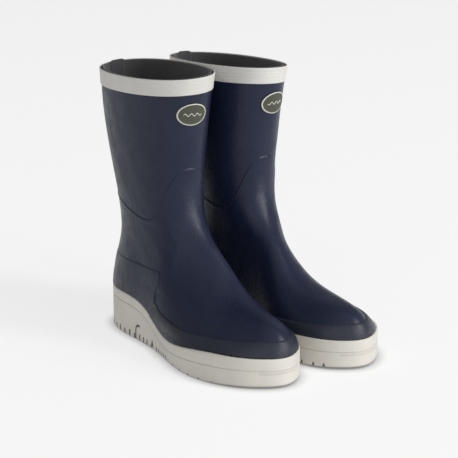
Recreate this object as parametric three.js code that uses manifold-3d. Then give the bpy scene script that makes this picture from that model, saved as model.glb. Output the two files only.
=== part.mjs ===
// A pair of mid-calf rubber deck boots, each one built up from its separate pieces on one shared boot shape.
// Millimetres, +Z up, toes towards -Y, origin on the floor under the middle of the pair.
import * as THREE from "three";
import { mergeVertices } from "three/addons/utils/BufferGeometryUtils.js";
import Module from "manifold-3d";

const wasm = await Module();
wasm.setup();

// ---- overall sizes -------------------------------------------------------------------------------------------
const SOLE_LENGTH = 290; // heel to toe, over the sole edge
const BALL_WIDTH = 103; // widest part of the sole
const BOOT_HEIGHT = 274; // floor to the middle of the rim
const RIM_RAKE = 3.2; // the rim's front stands this much higher than its middle
const RIM_LEAN = 2.2; // the rim's inner side stands this much higher than its middle
const SHAFT_WIDTH = 84.8; // across the shaft at the rim
const ANKLE_WIDTH = 70; // across the ankle
const INSTEP_LIFT = 0; // raises or lowers the whole instep line

// ---- the sole ------------------------------------------------------------------------------------------------
const HEEL_SOLE = 33; // outsole thickness under the heel
const WAIST_SOLE = 12; // and behind the ball of the foot
const TOE_SOLE = 17; // and at the toe
const HEEL_STRIP = 10.5; // height of the white strip above the outsole, at the heel
const FORE_STRIP = 12.5; // and round the forefoot
const GROOVE = 1.2; // the line between outsole and strip
const TREAD_DEPTH = 4; // cross grooves in the tread
const HEEL_SIPE = 1.1;
const TOE_SIPE = 1.9;
const HEEL_SIPES = 8;
const FORE_SIPES = 9;
const ARCH_RELIEF = 1.6; // the waist of the sole stands this clear of the floor

// ---- wall layers, from the outside in ------------------------------------------------------------------------
const GAP = 0.3; // between touching pieces
const VAMP_WALL = 2.1;
const LEG_STEP = 0.5; // the leg panel's face lies this much below the vamp's
const LEG_WALL = VAMP_WALL - LEG_STEP; // so that the two are flush inside
const OVERLAY = 0.8; // heel counter and toe wrap
const STIFFENER = 1.1;
const LINING = 1.3;
const TUCK = 2.8; // the vamp draws in behind the strip
const SEAM_GAP = 0.4; // leg panel above, vamp below

// ---- trims ---------------------------------------------------------------------------------------------------
const TOP_BAND_HEIGHT = 16.5;
const TOP_BAND_WALL = 1.0;
const BADGE_WIDTH = 33.5;
const BADGE_HEIGHT = 23;
const BADGE_THICK = 1.2;
const BADGE_DROP = 37; // rim to the middle of the badge
const BADGE_SIDE = 4; // the badge sits this far to the outside of the toe line
const STRIP_WIDTH = 20; // webbing strip inside the back seam
const STRIP_WALL = 1.2;
const STRIP_RISE = 2; // above the rim
const STRIP_DROP = 46; // below the rim

// ---- the foot bed --------------------------------------------------------------------------------------------
const FLOOR_HEEL = 39; // top of the insole board at the heel
const FLOOR_TOE = 23.5; // and at the ball and toe
const BOARD = 2;
const INSOLE = 4;
const BOARD_CLEAR = 2.2; // round the board and the midsole
const INSOLE_CLEAR = 3.4; // round the removable insole
const INSOLE_RELIEF = 5; // more on the outside of the ball, where the upper leans in as the insole is lifted

// ---- how the pair stands -------------------------------------------------------------------------------------
const PAIR_GAP = 80.5; // between the two heel centres
const LEFT_BACK = 1.8; // the left boot stands this much further back
const RIGHT_TOE_OUT = 1.3;
const LEFT_TOE_OUT = 5.1;

const COLUMNS = 28; // lengthwise columns round each boot

// ---- small tools ---------------------------------------------------------------------------------------------
const clamp = (x, a, b) => Math.min(Math.max(x, a), b);
const mix = (a, b, k) => a + (b - a) * k;
const ease = (x) => {
  const k = clamp(x, 0, 1);
  return k * k * (3 - 2 * k);
};

// Natural cubic curve through the points (x, y).
function cubic(points) {
  const x = points.map((p) => p[0]);
  const y = points.map((p) => p[1]);
  const n = x.length;
  const c = new Array(n).fill(0);
  const d = new Array(n).fill(0);
  for (let i = 1; i < n - 1; i++) {
    const a = x[i] - x[i - 1];
    const b = x[i + 1] - x[i];
    const w = 2 * (a + b) - a * c[i - 1];
    c[i] = b / w;
    d[i] = (6 * ((y[i + 1] - y[i]) / b - (y[i] - y[i - 1]) / a) - a * d[i - 1]) / w;
  }
  const m = new Array(n).fill(0);
  for (let i = n - 2; i > 0; i--) m[i] = d[i] - c[i] * m[i + 1];
  return (q) => {
    let i = 0;
    while (i < n - 2 && q > x[i + 1]) i++;
    const h = x[i + 1] - x[i];
    const a = q - x[i];
    const b = x[i + 1] - q;
    const bend = (m[i] * b ** 3 + m[i + 1] * a ** 3) / (6 * h);
    return bend + (y[i] / h - (m[i] * h) / 6) * b + (y[i + 1] / h - (m[i + 1] * h) / 6) * a;
  };
}

// Straight steps between the points (x, y).
function linear(points) {
  return (q) => {
    let i = 0;
    while (i < points.length - 2 && q > points[i + 1][0]) i++;
    const [x0, y0] = points[i];
    const [x1, y1] = points[i + 1];
    return mix(y0, y1, clamp((q - x0) / (x1 - x0), 0, 1));
  };
}

// A smooth line through points in the plane, as many short steps.
function smoothPath(points, steps = 500) {
  const at = [0];
  for (let i = 1; i < points.length; i++) {
    const run = Math.hypot(points[i][0] - points[i - 1][0], points[i][1] - points[i - 1][1]);
    at.push(at[i - 1] + run ** 0.75);
  }
  const x = cubic(at.map((a, i) => [a, points[i][0]]));
  const y = cubic(at.map((a, i) => [a, points[i][1]]));
  const end = at[at.length - 1];
  return Array.from({ length: steps }, (_, i) => {
    const a = (end * i) / (steps - 1);
    return [x(a), y(a)];
  });
}

// ---- the boot shape: forward f from the back of the heel, sideways s (+ to the outside), height z --------------
const alongSole = (share) => share * SOLE_LENGTH;
const inShaft = (z) => mix(125, BOOT_HEIGHT, (z - 125) / 149); // heights above the ankle follow the boot's height

// Sole edge in plan: share of the length, outer and inner half widths as shares of the ball width.
const SOLE_PLAN = [
  [0, 0, 0], [0.018, 0.135, -0.135], [0.075, 0.262, -0.255], [0.16, 0.335, -0.325], [0.28, 0.352, -0.325],
  [0.42, 0.378, -0.315], [0.56, 0.455, -0.375], [0.68, 0.505, -0.475], [0.79, 0.475, -0.495],
  [0.9, 0.345, -0.425], [0.97, 0.15, -0.27], [1, -0.08, -0.08],
];

function soleSides() {
  const outer = SOLE_PLAN.map(([f, o]) => [alongSole(f), o * BALL_WIDTH]);
  const inner = SOLE_PLAN.slice(0, -1).reverse().map(([f, , i]) => [alongSole(f), i * BALL_WIDTH]);
  const loop = smoothPath([...inner.slice(-4, -1), ...outer, ...inner, ...outer.slice(1, 4)], 1600);
  const tip = loop.reduce((best, p, i) => (p[0] > loop[best][0] ? i : best), 0);
  const before = loop.slice(0, tip).reduce((best, p, i) => (p[0] < loop[best][0] ? i : best), 0);
  const tail = loop.slice(tip);
  const after = tip + tail.reduce((best, p, i) => (p[0] < tail[best][0] ? i : best), 0);
  const sort = (side) => {
    const low = side.reduce((m, p) => Math.min(m, p[0]), Infinity);
    const span = side.reduce((m, p) => Math.max(m, p[0]), -Infinity) - low;
    return side.map(([f, s]) => [((f - low) * SOLE_LENGTH) / span, s]).sort((a, b) => a[0] - b[0]);
  };
  return [linear(sort(loop.slice(before, tip + 1))), linear(sort(loop.slice(tip, after + 1)))];
}
const [soleOuter, soleInner] = soleSides();

const FRONT_LINE = smoothPath([
  [alongSole(1), 8], [alongSole(0.9975), 24], [alongSole(0.988), 42 + INSTEP_LIFT * 0.5],
  [alongSole(0.9514), 53.9 + INSTEP_LIFT], [alongSole(0.8848), 59 + INSTEP_LIFT],
  [alongSole(0.7736), 63.4 + INSTEP_LIFT], [alongSole(0.6617), 76.5 + INSTEP_LIFT],
  [alongSole(0.5697), 100.4 + INSTEP_LIFT], [alongSole(0.4866), 124.8 + INSTEP_LIFT * 0.5],
  [alongSole(0.4559), inShaft(155.4)], [alongSole(0.4617), inShaft(185.5)], [alongSole(0.4834), inShaft(228.7)],
  [alongSole(0.5152), inShaft(275.6)], [alongSole(0.5262), inShaft(292)],
]);
const BACK_LINE = smoothPath([
  [4, -2], [2.5, 20], [3.2, 45], [7.5, 70], [16.9, 95], [21.4, 125], [15.3, inShaft(159.1)],
  [3.3, inShaft(198.9)], [-5.4, inShaft(238.6)], [-9.7, inShaft(276.1)], [-12, inShaft(292)],
]);
const HALF_WIDTH = cubic([
  [60, ANKLE_WIDTH / 2 - 1.5], [90, ANKLE_WIDTH / 2 - 1], [120, ANKLE_WIDTH / 2],
  [inShaft(159.7), mix(ANKLE_WIDTH, SHAFT_WIDTH, 0.14) / 2], [inShaft(196.9), mix(ANKLE_WIDTH, SHAFT_WIDTH, 0.5) / 2],
  [inShaft(234.2), mix(ANKLE_WIDTH, SHAFT_WIDTH, 0.78) / 2], [BOOT_HEIGHT, SHAFT_WIDTH / 2],
  [inShaft(292), SHAFT_WIDTH / 2 + 0.8],
]);
const TAPER = cubic([[0, 1], [20, 0.985], [40, 0.975], [60, 0.955], [90, 0.92], [130, 0.9], [300, 0.9]]);
const RIDGE = cubic([[60, 0], [130, -9.9], [175, -15.5], [220, -6.5], [260, -6.7], [291, -8.2]]
  .map(([f, s]) => [(f * SOLE_LENGTH) / 290, s]));
const DOME_START = 22;
const DOME_POWER = 1.89;
const DOME_OUTER = 1.633;
const DOME_INNER = 2.165;
const LEAN_OUTER = 0.339;
const LEAN_INNER = 0.093;
const SHAFT_POWER = 2.15;
const SHAFT_TWIST = Math.tan(THREE.MathUtils.degToRad(-1.5));

// f on a profile line at height z; the lines rise all the way.
function lineAt(line, z) {
  let lo = 0;
  let hi = line.length - 1;
  while (hi - lo > 1) {
    const mid = (lo + hi) >> 1;
    if (line[mid][1] < z) lo = mid;
    else hi = mid;
  }
  const k = clamp((z - line[lo][1]) / Math.max(line[hi][1] - line[lo][1], 1e-6), 0, 1);
  return mix(line[lo][0], line[hi][0], k);
}
const frontAt = (z) => lineAt(FRONT_LINE, z);
const backAt = (z) => lineAt(BACK_LINE, z);

// Height of the instep line above f; behind the front of the ankle it climbs on, ever steeper.
const NECK = alongSole(0.483);
const INSTEP = (() => {
  const neck = FRONT_LINE.reduce((best, p, i) => (p[0] < FRONT_LINE[best][0] ? i : best), 0);
  const rising = FRONT_LINE.slice(0, neck + 1);
  const tip = rising.reduce((best, p, i) => (p[0] > rising[best][0] ? i : best), 0);
  return linear(rising.slice(tip).reverse());
})();
const NECK_CLIMB = (INSTEP(NECK - 2) - INSTEP(NECK + 2)) / 4 / INSTEP(NECK);
const instepAt = (f) => (f < NECK ? INSTEP(NECK) * Math.exp((NECK - f) * NECK_CLIMB) : INSTEP(f));

const ringCache = new Map();
// The level section of the boot at height z: both sides as lines from heel to toe with their run lengths.
function sectionAt(z) {
  const key = Math.round(z * 100);
  if (ringCache.has(key)) return ringCache.get(key);
  const back = backAt(z);
  const front = frontAt(z);
  const toe = frontAt(clamp(z, 12, 26));
  const steps = 180;
  const sides = [[], []];
  for (let i = 0; i <= steps; i++) {
    const f = back + ((front - back) * (1 - Math.cos((Math.PI * i) / steps))) / 2;
    const plan = ((f - back) * SOLE_LENGTH) / (toe - back);
    const outer = soleOuter(plan);
    const inner = soleInner(plan);
    const mid = (outer + inner) / 2;
    const taper = TAPER(z);
    const x = clamp((z - DOME_START) / Math.max(instepAt(f) - DOME_START, 1e-6), 0, 1);
    const dome = z <= DOME_START ? 1 : Math.max(1 - x ** DOME_POWER, 0);
    const turn = 10 * clamp((z - 105) / 15, 0, 1) + 1e-6;
    const nose = Math.sqrt(Math.max(1 - (1 - clamp((front - f) / turn, 0, 1)) ** 2, 0));
    const fore = ease((f / SOLE_LENGTH - 0.414) / 0.207);
    const domes = [
      nose * dome ** (1 / DOME_OUTER) * (1 - LEAN_OUTER * x * fore),
      nose * dome ** (1 / DOME_INNER) * (1 - LEAN_INNER * x * fore),
    ];
    const ridge = RIDGE(f);
    const middle = (back + front) / 2;
    const round = Math.max(1 - Math.abs((f - middle) / ((front - back) / 2)) ** SHAFT_POWER, 0);
    const half = HALF_WIDTH(z) * round ** (1 / SHAFT_POWER);
    const drift = (f - middle) * SHAFT_TWIST;
    const shaft = ease((z - 80) / 85);
    [outer, inner].forEach((edge, k) => {
      const foot = ridge + (mid + (edge - mid) * taper - ridge) * domes[k];
      sides[k].push([f, mix(foot, drift + (k ? -half : half), shaft)]);
    });
  }
  const section = sides.map((side) => {
    const run = [0];
    for (let i = 1; i < side.length; i++)
      run.push(run[i - 1] + Math.hypot(side[i][0] - side[i - 1][0], side[i][1] - side[i - 1][1]));
    return { side, run };
  });
  ringCache.set(key, section);
  return section;
}

// Point on the boot shape: t runs 0 at the heel, over the outside to 0.5 at the toe, and back on the inside to 1.
function surfacePoint(t, z) {
  const u = ((t % 1) + 1) % 1;
  const { side, run } = sectionAt(z)[u <= 0.5 ? 0 : 1];
  const want = run[run.length - 1] * (u <= 0.5 ? u * 2 : (1 - u) * 2);
  let lo = 0;
  let hi = run.length - 1;
  while (hi - lo > 1) {
    const mid = (lo + hi) >> 1;
    if (run[mid] < want) lo = mid;
    else hi = mid;
  }
  const k = clamp((want - run[lo]) / Math.max(run[hi] - run[lo], 1e-9), 0, 1);
  return new THREE.Vector3(mix(side[lo][0], side[hi][0], k), mix(side[lo][1], side[hi][1], k), z);
}

// The same point moved outwards by d, square to the surface.
function skin(t, z, d) {
  const p = surfacePoint(t, z);
  if (d === 0) return p;
  const across = surfacePoint(t + 0.012, z).sub(surfacePoint(t - 0.012, z));
  const up = surfacePoint(t, z + 0.6).sub(surfacePoint(t, z - 0.6));
  return p.addScaledVector(across.cross(up).normalize(), -d);
}

// ---- curves that divide the pieces, over f -------------------------------------------------------------------
const soleTop = cubic([
  [-20, HEEL_SOLE], [40, HEEL_SOLE], [alongSole(0.26), HEEL_SOLE], [alongSole(0.36), mix(WAIST_SOLE, HEEL_SOLE, 0.74)],
  [alongSole(0.455), mix(WAIST_SOLE, HEEL_SOLE, 0.2)], [alongSole(0.52), WAIST_SOLE], [alongSole(0.6), WAIST_SOLE],
  [alongSole(0.7), mix(WAIST_SOLE, TOE_SOLE, 0.55)], [alongSole(0.82), TOE_SOLE], [alongSole(1.05), TOE_SOLE],
]);
const stripHeight = (f) => mix(HEEL_STRIP, FORE_STRIP, ease((f / SOLE_LENGTH - 0.55) / 0.3));
const stripTop = (f) => soleTop(f) + stripHeight(f);
const seamHeight = linear([
  [-20, 158], [20, 150], [62, 138], [75, 134], [90, 129.5], [105, 130], [110, 132], [116, 142], [120, 156],
  [125, 172], [128, 178], [132, 184], [170, 186],
].map(([f, z]) => [(f * SOLE_LENGTH) / 290, z > 125 ? inShaft(z) : z]));
const wrapTop = linear([
  [110, 45], [137, 44], [161, 40], [186, 38], [218, 40], [256, 43], [275, 45.5], [300, 46],
].map(([f, z]) => [(f * SOLE_LENGTH) / 290, z]));
const COUNTER_TOP = 82;
const COUNTER_END = alongSole(0.438);
const floorTop = cubic([
  [-10, FLOOR_HEEL + 0.4], [50, FLOOR_HEEL - 0.4], [alongSole(0.38), mix(FLOOR_TOE, FLOOR_HEEL, 0.72)],
  [alongSole(0.55), mix(FLOOR_TOE, FLOOR_HEEL, 0.25)], [alongSole(0.72), FLOOR_TOE], [alongSole(1.05), FLOOR_TOE],
]);
const rimHeight = (f, s) => BOOT_HEIGHT + (RIM_RAKE * (f - 70)) / 79.5 - (RIM_LEAN * s) / (SHAFT_WIDTH / 2);

// Height on column t where the surface meets a dividing curve.
function meet(column, curve, low = 8, high = BOOT_HEIGHT + 12) {
  let a = low;
  let b = high;
  for (let i = 0; i < 26; i++) {
    const mid = (a + b) / 2;
    const p = surfacePoint(column(mid), mid);
    if (mid < curve(p.x, p.y)) a = mid;
    else b = mid;
  }
  return (a + b) / 2;
}

// Levels shared by every layer, close together over the toe where the surface lies nearly flat.
const LEVELS = [19, 28, 37, 44, 50, 55, 60, 67, 82, 103, 126, inShaft(152), inShaft(182), inShaft(222)]
  .map((z) => (z > 45 && z < 100 ? z + INSTEP_LIFT : z));

// ---- solids --------------------------------------------------------------------------------------------------
function closedGeometry(points, faces) {
  const raw = new THREE.BufferGeometry();
  raw.setAttribute("position", new THREE.Float32BufferAttribute(points.flatMap((p) => [p.x, p.y, p.z]), 3));
  raw.setIndex(faces.flat());
  const merged = mergeVertices(raw, 1e-2);
  const index = merged.index.array;
  const kept = [];
  for (let i = 0; i < index.length; i += 3) {
    const [a, b, c] = [index[i], index[i + 1], index[i + 2]];
    if (a !== b && b !== c && c !== a) kept.push(a, b, c);
  }
  merged.setIndex(kept);
  let volume = 0;
  const at = merged.attributes.position;
  const [a, b, c] = [new THREE.Vector3(), new THREE.Vector3(), new THREE.Vector3()];
  for (let i = 0; i < kept.length; i += 3) {
    a.fromBufferAttribute(at, kept[i]);
    b.fromBufferAttribute(at, kept[i + 1]);
    c.fromBufferAttribute(at, kept[i + 2]);
    volume += a.dot(b.cross(c));
  }
  if (volume < 0) {
    for (let i = 0; i < kept.length; i += 3) [kept[i + 1], kept[i + 2]] = [kept[i + 2], kept[i + 1]];
    merged.setIndex(kept);
  }
  return merged;
}

// Joins equal loops of points side by side: a closed ring, or a strip whose two ends are capped.
// Each loop runs up its outside and down its inside.
function loft(loops, closed) {
  const size = loops[0].length;
  const faces = [];
  const last = closed ? loops.length : loops.length - 1;
  for (let j = 0; j < last; j++)
    for (let k = 0; k < size; k++) {
      const a = j * size + k;
      const b = j * size + ((k + 1) % size);
      const c = ((j + 1) % loops.length) * size + ((k + 1) % size);
      const d = ((j + 1) % loops.length) * size + k;
      // both sides of the wall are split along the same diagonal, so that stacked layers stay parallel
      if (k < size / 2) faces.push([a, b, c], [a, c, d]);
      else faces.push([a, b, d], [b, c, d]);
    }
  if (!closed)
    [0, loops.length - 1].forEach((j, end) => {
      for (let k = 0; k < size / 2 - 1; k++) {
        const a = j * size + k;
        const b = j * size + k + 1;
        const c = j * size + (size - 2 - k);
        const d = j * size + (size - 1 - k);
        faces.push(...(end ? [[a, b, c], [a, c, d]] : [[a, c, b], [a, d, c]]));
      }
    });
  return closedGeometry(loops.flat(), faces);
}

// Columns stand closer together round the toe and the heel than along the sides.
const CROWDING = 0.25;
const share = (u) => u - (CROWDING * Math.sin(4 * Math.PI * u)) / (4 * Math.PI);
const wholeRing = Array.from({ length: COLUMNS }, (_, j) => () => share(j / COLUMNS));

// A wall piece between two dividing curves, from `inner` to `outer` off the boot shape.
function wall({ columns = wholeRing, closed = true, from, to, outer, inner }) {
  const loops = columns.map((column) => {
    const low = meet(column, from);
    const high = Math.max(meet(column, to), low + 0.8);
    const heights = [low, ...LEVELS.map((z) => clamp(z, low, high)), high];
    const up = heights.map((z) => outer(column(z), z));
    const down = heights.map((z) => inner(column(z), z)).reverse();
    return [...up, ...down];
  });
  return loft(loops, closed);
}

// Columns on both sides of the middle column `centre`, out to where the piece ends.
function reach(centre, end, inside) {
  const whole = [];
  for (let k = -COLUMNS; k <= COLUMNS; k++) {
    const off = share(k / COLUMNS);
    if (Math.abs(off) < inside) whole.push(off);
  }
  const outermost = whole.at(-1);
  return [
    (z) => centre - end(z, -1),
    (z) => centre - (outermost + end(z, -1)) / 2,
    ...whole.map((off) => () => centre + off),
    (z) => centre + (outermost + end(z, 1)) / 2,
    (z) => centre + end(z, 1),
  ];
}

// Share of the way round where the section at height z passes f, on the outside (+1) or the inside (-1).
function shareAt(f, z, way) {
  let a = 0;
  let b = 0.5;
  for (let i = 0; i < 22; i++) {
    const mid = (a + b) / 2;
    if (surfacePoint(way > 0 ? mid : 1 - mid, z).x < f) a = mid;
    else b = mid;
  }
  return (a + b) / 2;
}

// A flat piece that fills the boot's plan: its edge follows the boot at its underside and at its top.
function plate({ low, high, inset, count = COLUMNS }) {
  const edge = (height) =>
    Array.from({ length: count }, (_, j) => {
      const t = share(j / count);
      const p = inset(t, meet(() => t, height, 8, 70));
      return new THREE.Vector3(p.x, p.y, height(p.x));
    });
  const points = [...edge(low), ...edge(high)];
  const faces = [];
  for (let j = 0; j < count; j++) {
    const k = (j + 1) % count;
    faces.push([j, k, count + k], [j, count + k, count + j]);
  }
  const across = (base, flip) => {
    for (let j = 0; j < count / 2; j++) {
      const [a, b] = [base + j, base + j + 1];
      const [c, d] = [base + ((count - j) % count), base + count - j - 1];
      const made = [[a, b, d], [a, d, c]].filter((face) => new Set(face).size === 3);
      made.forEach(([p, q, r]) => faces.push(flip ? [p, r, q] : [p, q, r]));
    }
  };
  across(0, true);
  across(count, false);
  return closedGeometry(points, faces);
}

function solidOf(geometry) {
  const bare = new THREE.BufferGeometry();
  bare.setAttribute("position", geometry.getAttribute("position").clone());
  if (geometry.index) bare.setIndex(Array.from(geometry.index.array));
  const merged = mergeVertices(bare, 1e-4);
  return new wasm.Manifold(
    new wasm.Mesh({
      numProp: 3,
      vertProperties: new Float32Array(merged.attributes.position.array),
      triVerts: new Uint32Array(merged.index.array),
    }),
  );
}

function geometryOf(solid) {
  const mesh = solid.getMesh();
  const geometry = new THREE.BufferGeometry();
  const points = [];
  for (let i = 0; i < mesh.numVert; i++)
    points.push(...mesh.vertProperties.slice(i * mesh.numProp, i * mesh.numProp + 3));
  geometry.setAttribute("position", new THREE.Float32BufferAttribute(points, 3));
  geometry.setIndex(Array.from(mesh.triVerts));
  return geometry;
}

// Everything inside the face `face`, as one solid, with the same columns and levels as the walls.
// Below its lowest row it runs straight down for `skirt`.
function filled({ from, to, face, skirt = 5 }) {
  const rows = LEVELS.length + 3;
  const points = [];
  for (const column of wholeRing) {
    const low = meet(column, from);
    const high = Math.max(meet(column, to), low + 0.8);
    const foot = skin(column(low), low, face(column(low), low));
    points.push(foot.clone().setZ(foot.z - skirt));
    for (const z of [low, ...LEVELS.map((level) => clamp(level, low, high)), high])
      points.push(skin(column(z), z, face(column(z), z)));
  }
  const faces = [];
  for (let j = 0; j < COLUMNS; j++)
    for (let k = 0; k < rows - 1; k++) {
      const a = j * rows + k;
      const d = ((j + 1) % COLUMNS) * rows + k;
      faces.push([a, a + 1, d + 1], [a, d + 1, d]);
    }
  for (const [row, flip] of [[0, false], [rows - 1, true]])
    for (let j = 0; j < COLUMNS / 2; j++) {
      const at = (i) => (((i % COLUMNS) + COLUMNS) % COLUMNS) * rows + row;
      const made = [[at(j), at(j + 1), at(-j - 1)], [at(j), at(-j - 1), at(-j)]];
      made.filter((face3) => new Set(face3).size === 3)
        .forEach(([p, q, r]) => faces.push(flip ? [p, r, q] : [p, q, r]));
    }
  return solidOf(closedGeometry(points, faces));
}
const outside = (geometry, body) => geometryOf(solidOf(geometry).subtract(body));
const within = (geometry, body) => geometryOf(solidOf(geometry).intersect(body));

// ---- the layers ----------------------------------------------------------------------------------------------
// The vamp's outer face: flush with the boot shape, drawn in where the white strip covers it.
function vampFace(t, z) {
  const f = surfacePoint(t, z).x;
  return -TUCK * ease((stripTop(f) + 1 - z) / 8);
}
// The lining gives way to the stiffeners at the heel and the toe.
function stiffened(t, z) {
  const f = surfacePoint(t, z).x;
  const toe = ease((f / SOLE_LENGTH - 0.7) / 0.06);
  const heel = ease((0.32 - f / SOLE_LENGTH) / 0.06) * ease((108 - z) / 12);
  return Math.max(toe, heel);
}
const liningFace = (t, z) =>
  vampFace(t, z) - VAMP_WALL - GAP * 3 - (STIFFENER + GAP) * stiffened(t, z);
const legFace = -LEG_STEP;
const onSole = (f) => soleTop(f) + GROOVE;
const aboveSole = (f) => onSole(f) + 0.5;
const belowRim = (f, s) => rimHeight(f, s) - 0.8;

// What the layers must stay clear of: the vamp from outside, the rubber walls from inside, the lining from inside.
const vampBody = filled({
  from: aboveSole,
  to: (f) => seamHeight(f),
  face: (t, z) => vampFace(t, z) + GAP,
});
const hollow = filled({
  from: aboveSole,
  to: belowRim,
  face: (t, z) => vampFace(t, z) - VAMP_WALL - GAP * 2.6,
});
const liningBody = filled({
  from: aboveSole,
  to: belowRim,
  face: (t, z) => liningFace(t, z) + GAP,
});

const outsole = (() => {
  const body = solidOf(
    plate({ low: () => 0, high: soleTop, inset: (t) => surfacePoint(t, 18), count: 2 * COLUMNS }),
  );
  let cut = body;
  const slot = (f, width, depth) => {
    const box = new THREE.BoxGeometry(width, BALL_WIDTH * 1.4, depth * 2);
    box.translate(f, 0, 0);
    cut = cut.subtract(solidOf(box));
  };
  for (let i = 0; i < HEEL_SIPES; i++)
    slot(mix(alongSole(0.07), alongSole(0.32), i / (HEEL_SIPES - 1)), HEEL_SIPE, TREAD_DEPTH);
  for (let i = 0; i < FORE_SIPES; i++)
    slot(mix(alongSole(0.5), alongSole(0.94), i / (FORE_SIPES - 1)), TOE_SIPE, TREAD_DEPTH * 0.9);
  slot(alongSole(0.4), alongSole(0.09), ARCH_RELIEF);
  return geometryOf(cut);
})();

const soleStrip = wall({
  from: onSole,
  to: stripTop,
  outer: (t, z) => {
    const p = surfacePoint(t, 18);
    return new THREE.Vector3(p.x, p.y, z);
  },
  inner: (t, z) => skin(t, z, vampFace(t, z) + GAP),
});

const vamp = wall({
  from: aboveSole,
  to: (f) => seamHeight(f) - SEAM_GAP / 2,
  outer: (t, z) => skin(t, z, vampFace(t, z)),
  inner: (t, z) => skin(t, z, vampFace(t, z) - VAMP_WALL),
});

const legPanel = wall({
  from: (f) => seamHeight(f) + SEAM_GAP / 2,
  to: belowRim,
  outer: (t, z) => skin(t, z, legFace),
  inner: (t, z) => skin(t, z, legFace - LEG_WALL),
});

const lining = within(wall({
  from: aboveSole,
  to: belowRim,
  outer: (t, z) => skin(t, z, liningFace(t, z)),
  inner: (t, z) => skin(t, z, liningFace(t, z) - LINING),
}), hollow);

const overlayFaces = {
  outer: (t, z) => skin(t, z, GAP + OVERLAY),
  inner: (t, z) => skin(t, z, -0.6),
};
const heelCounter = outside(wall({
  columns: reach(0, (z, way) => shareAt(COUNTER_END - 6 * ease((z - 74) / 8), z, way), 0.2),
  closed: false,
  from: (f) => stripTop(f) + GAP * 5,
  to: () => COUNTER_TOP,
  ...overlayFaces,
}), vampBody);
const toeWrap = outside(wall({
  columns: reach(0.5, (z, way) => 0.5 - shareAt(COUNTER_END + 1, z, -way), 0.22),
  closed: false,
  from: (f) => stripTop(f) + GAP * 4,
  to: wrapTop,
  ...overlayFaces,
}), vampBody);

const stiffenerFaces = {
  outer: (t, z) => skin(t, z, vampFace(t, z) - VAMP_WALL - GAP / 2),
  inner: (t, z) => skin(t, z, vampFace(t, z) - VAMP_WALL - GAP - STIFFENER),
};
const heelStiffener = within(wall({
  columns: reach(0, (z, way) => shareAt(alongSole(0.17), z, way), 0.1),
  closed: false,
  from: (f) => stripTop(f) - 4,
  to: () => 80,
  ...stiffenerFaces,
}), hollow.subtract(liningBody));
const toePuff = within(wall({
  columns: reach(0.5, (z, way) => 0.5 - shareAt(alongSole(0.86), Math.min(z, 40), -way), 0.07),
  closed: false,
  from: (f) => stripTop(f) - 4,
  to: () => 52,
  ...stiffenerFaces,
}), hollow.subtract(liningBody));

const inPlan = (t, z, d) => skin(t, z, liningFace(t, z) - LINING - d);
const midsole = plate({
  low: (f) => onSole(f) + GAP * 2,
  high: (f) => floorTop(f) - BOARD - GAP,
  inset: (t, z) => inPlan(t, z, BOARD_CLEAR),
});
const insoleBoard = plate({
  low: (f) => floorTop(f) - BOARD,
  high: floorTop,
  inset: (t, z) => inPlan(t, z, BOARD_CLEAR),
});
const insole = plate({
  low: (f) => floorTop(f) + GAP,
  high: (f) => floorTop(f) + GAP + INSOLE,
  inset: (t, z) => {
    const along = clamp((surfacePoint(t, z).x / SOLE_LENGTH - 0.42) / 0.52, 0, 1);
    const relief = t < 0.5 ? INSOLE_RELIEF * Math.sin(Math.PI * along) : 0;
    return inPlan(t, z, INSOLE_CLEAR + relief);
  },
});

const topBand = wall({
  from: (f, s) => rimHeight(f, s) - TOP_BAND_HEIGHT,
  to: rimHeight,
  outer: (t, z) => skin(t, z, legFace + GAP + TOP_BAND_WALL),
  inner: (t, z) => skin(t, z, legFace + GAP),
});

const backStrip = (() => {
  const girth = sectionAt(BOOT_HEIGHT)[0].run.at(-1) + sectionAt(BOOT_HEIGHT)[1].run.at(-1);
  const half = STRIP_WIDTH / 2 / girth;
  const face = (t, z) => liningFace(t, z) - LINING - GAP;
  return wall({
    columns: [-1, -0.5, 0, 0.5, 1].map((k) => () => k * half),
    closed: false,
    from: (f, s) => rimHeight(f, s) - STRIP_DROP,
    to: (f, s) => rimHeight(f, s) + STRIP_RISE,
    outer: (t, z) => skin(t, z, face(t, z) - 0.9),
    inner: (t, z) => skin(t, z, face(t, z) - 0.9 - STRIP_WALL),
  });
})();

const badge = (() => {
  const sides = 16;
  const middle = BOOT_HEIGHT + RIM_RAKE - BADGE_DROP;
  const section = sectionAt(middle);
  const girth = section[0].run.at(-1) + section[1].run.at(-1);
  const at = (share, turn, d) => {
    const across = (BADGE_WIDTH / 2) * share * Math.cos(turn);
    const up = (BADGE_HEIGHT / 2) * share * Math.sin(turn);
    return skin(0.5 - (BADGE_SIDE + across) / girth, middle + up, d);
  };
  const back = legFace + GAP * 2.2;
  const loops = [];
  for (let j = 0; j < sides; j++) {
    const turn = (2 * Math.PI * j) / sides;
    loops.push([
      at(1, turn, back), at(1, turn, back + BADGE_THICK * 0.7), at(0.93, turn, back + BADGE_THICK),
      at(0.4, turn, back + BADGE_THICK), at(0.4, turn, back),
    ]);
  }
  // the small hole that the loops leave in the middle is filled by a fan on each face
  const size = loops[0].length;
  const faces = [];
  for (let j = 0; j < sides; j++)
    for (let k = 0; k < size; k++) {
      if (k === 3) continue;
      const a = j * size + k;
      const b = j * size + ((k + 1) % size);
      const c = ((j + 1) % sides) * size + ((k + 1) % size);
      const d = ((j + 1) % sides) * size + k;
      faces.push([a, b, c], [a, c, d]);
    }
  const points = loops.flat();
  for (const k of [3, 4]) {
    const centre = points.push(at(0, 0, k === 3 ? back + BADGE_THICK : back)) - 1;
    for (let j = 0; j < sides; j++) {
      const [a, b] = [j * size + k, ((j + 1) % sides) * size + k];
      faces.push(k === 3 ? [a, centre, b] : [a, b, centre]);
    }
  }
  return closedGeometry(points, faces);
})();

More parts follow.
